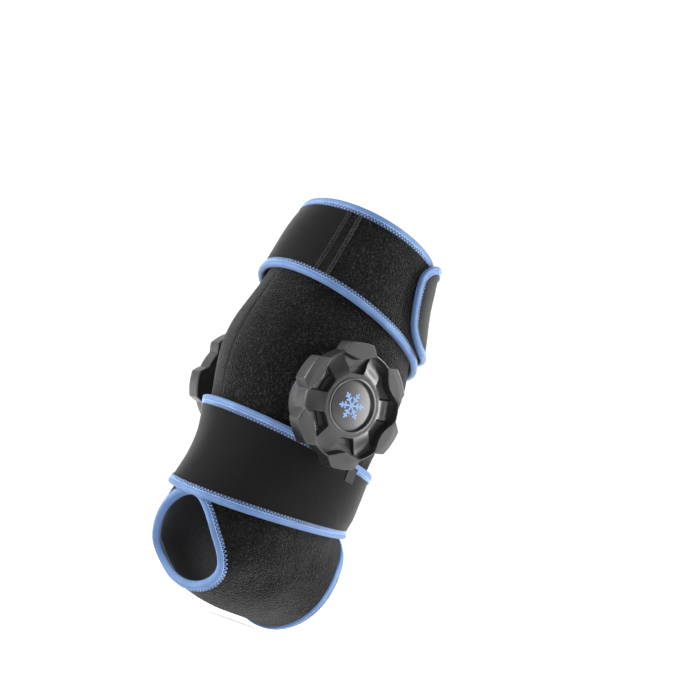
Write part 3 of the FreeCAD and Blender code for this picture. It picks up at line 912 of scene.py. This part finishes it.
def bags():
    for word, (side, axis_x, _) in (("near", NEAR_CAP), ("far", FAR_CAP)):
        u, t, depth, x, z = bag_grid(side, axis_x, 37.5, 49.5, 19)
        swell = 1 - np.exp(-depth / 5.0)
        base = skin(u, t, -8.0)
        pleat = ripple(base, 31 + side, 21, 0.3) * swell
        d_back = -4.6 - 9.9 * swell + pleat
        v, f = shell(skin(u, t, d_back - 1.1 * np.minimum(1, 0.3 + depth)), skin(u, t, d_back), keep=None)
        f = [face[::-1] for face in f]
        pocket = make(word + "_pocket", v, f, LINING, sharp=60)
        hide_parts(word + "_pocket_liner")
        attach(pocket, "wrap")
        u, t, depth, x, z = bag_grid(side, axis_x, 35.5, 47.5, 17)
        swell = np.sqrt(np.clip(depth / 12.0, 0, 1) * (2 - np.clip(depth / 12.0, 0, 1)))
        base = skin(u, t, -8.0)
        radial = np.hypot(x, z - CAP_Z)
        around = np.arctan2(z - CAP_Z, x)
        folds = 0.35 * np.sin(around * 22) * step(radial, 24, 34) * (1 - step(radial, 40, 50))
        front = -5.1 - 1.5 * (1 - swell) + folds * 0.5 - 0.3
        back = -5.4 - 7.9 * swell + folds - 0.8
        hole = radial < 23.4
        keep = []
        rows, cols = u.shape
        for i in range(rows - 1):
            for j in range(cols - 1):
                keep.append(not (hole[i, j] or hole[i, j + 1] or hole[i + 1, j] or hole[i + 1, j + 1]))
        outer = skin(u, t, front)
        back_grid = skin(u, t, np.minimum(back, front - 0.6))
        v1, f1 = shell(outer, skin(u, t, front - 0.4), keep=keep)
        v2, f2 = shell(back_grid, skin(u, t, np.minimum(back, front - 0.6) - 0.4))
        v, f = join([compact(v1, f1), (v2, f2)])
        bag = make(word + "_bag", v, f, FILM)
        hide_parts(word + "_ice_bag")
        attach(bag, "wrap")


# ---- label -----------------------------------------------------------------------------------------------
def label():
    out = ANKLE_SHEET[1]
    ts = np.linspace(272.0, 280.5, 16)
    us = np.linspace(u_at(276.0, out, plane(107.0, 0, 0)), u_at(276.0, out, plane(97.5, 0, 0)), 14)
    uu, tt = np.meshgrid(us, ts, indexing="ij")
    v, f = shell(skin(uu, tt, out + 0.95), skin(uu, tt, out + 0.2))
    ob = make("size_tag", v, f, LABEL, sharp=40)
    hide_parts("size_label")
    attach(ob, "wrap")


# ---- stage -----------------------------------------------------------------------------------------------
FLOOR_Z = -6.6            # just under the bound edges of the sole, in mm


def area(name, place, target, power, size, color=(1, 1, 1)):
    light = bpy.data.lights.new(name, "AREA")
    light.energy = power
    light.shape = "RECTANGLE"
    light.size, light.size_y = size
    light.color = color
    ob = bpy.data.objects.new(name, light)
    bpy.context.scene.collection.objects.link(ob)
    ob.location = place
    ob.rotation_euler = (Vector(target) - Vector(place)).to_track_quat("-Z", "Y").to_euler()


def stage():
    """Camera at the photograph's angle, soft lights, and a pale surround that is fixed in the scene.

    The surround is brightest on the side that lies behind the wrap from the photograph's angle.
    """
    az, el, roll = math.radians(-47.7), math.radians(-6.0), math.radians(20.7)
    back = Vector((math.sin(az) * math.cos(el), -math.cos(az) * math.cos(el), math.sin(el)))
    right = Vector((math.cos(az), math.sin(az), 0))
    up = back.cross(right)
    rolled_right = right * math.cos(roll) + up * math.sin(roll)
    rolled_up = -right * math.sin(roll) + up * math.cos(roll)
    target = Vector((0, 0, 0.130))
    eye = target + back * 1.0
    aim = target + rolled_right * 0.0314 + rolled_up * 0.0410
    z = (eye - aim).normalized()
    x = rolled_up.cross(z).normalized()
    y = z.cross(x)
    cam = bpy.data.cameras.new("camera")
    cam.sensor_width = 36
    cam.lens = 80.35
    cam_ob = bpy.data.objects.new("camera", cam)
    bpy.context.scene.collection.objects.link(cam_ob)
    cam_ob.matrix_world = Matrix.Translation(eye) @ Matrix((x, y, z)).transposed().to_4x4()
    bpy.context.scene.camera = cam_ob

    world = bpy.data.worlds.new("studio")
    world.use_nodes = True
    tree = world.node_tree
    spot = tree.nodes.new("ShaderNodeTexCoord")
    facing = tree.nodes.new("ShaderNodeVectorMath")
    facing.operation = "DOT_PRODUCT"
    facing.inputs[1].default_value = tuple(-back)
    level = tree.nodes.new("ShaderNodeMapRange")
    level.interpolation_type = "SMOOTHSTEP"
    for key, value in (("From Min", 0.15), ("From Max", 0.8), ("To Min", 0.45), ("To Max", 1.1)):
        level.inputs[key].default_value = value
    tree.links.new(spot.outputs["Generated"], facing.inputs[0])
    tree.links.new(facing.outputs["Value"], level.inputs["Value"])
    tree.links.new(level.outputs["Result"], tree.nodes["Background"].inputs["Strength"])
    tree.nodes["Background"].inputs["Color"].default_value = (1, 1, 1, 1)
    bpy.context.scene.world = world
    bpy.context.scene.view_settings.view_transform = "Standard"
    floor_mat, _, shader = material("floor", (0.9, 0.9, 0.9), 0.9)
    shader.inputs["Emission Color"].default_value = (1, 1, 1, 1)
    shader.inputs["Emission Strength"].default_value = 0.55
    corners = [(x, y, FLOOR_Z) for x, y in ((-9000, -9000), (9000, -9000), (9000, 9000), (-9000, 9000))]
    floor = make("floor", corners, [[0, 1, 2, 3]], floor_mat, False)
    centre = (0, 0, 0.13)
    left = centre + np.array(right) * -1.1 + np.array(back) * 0.25 + np.array([0, 0, 0.25])
    rside = centre + np.array(right) * 1.1 + np.array(back) * 0.1 + np.array([0, 0, 0.35])
    front = centre + np.array(back) * 1.6 + np.array(right) * -0.7 + np.array([0, 0, 0.9])
    area("left_soft", tuple(left), centre, 26, (0.4, 1.2))
    area("right_soft", tuple(rside), centre, 26, (0.3, 1.2))
    area("front_soft", tuple(front), centre, 5, (0.6, 0.6))


def plain_nodes():
    """CAD nodes that stay, with their moulded materials."""
    for word in ("near", "far"):
        for node, mat in (("_neck", CLOSURE), ("_lock_ring", CLOSURE), ("_seal", SEAL)):
            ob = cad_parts[word + node]
            ob.data.materials.clear()
            ob.data.materials.append(mat)


body_panels()
rear_seam()
body_bindings()
straps()
calf_end = (-28, -43, 48, 188.5, 247.5, 16)
ankle_end = (34, 36, -36, 74, 98, 9)
strap_end("calf_tab", "calf_strap_end", calf_end, 6.9, 1.4, 0.1, SMOOTH, 21)
strap_end("ankle_tab", "ankle_strap_end", ankle_end, 6.0, 0.6, 0.0, SMOOTH, 22)
label()
cap_piece("near_screw_cap", "near_cap", "near_cap_badge", "near_cap", NEAR_CAP)
cap_piece("far_screw_cap", "far_cap", "far_cap_badge", "far_cap", FAR_CAP)
bags()
plain_nodes()
stage()
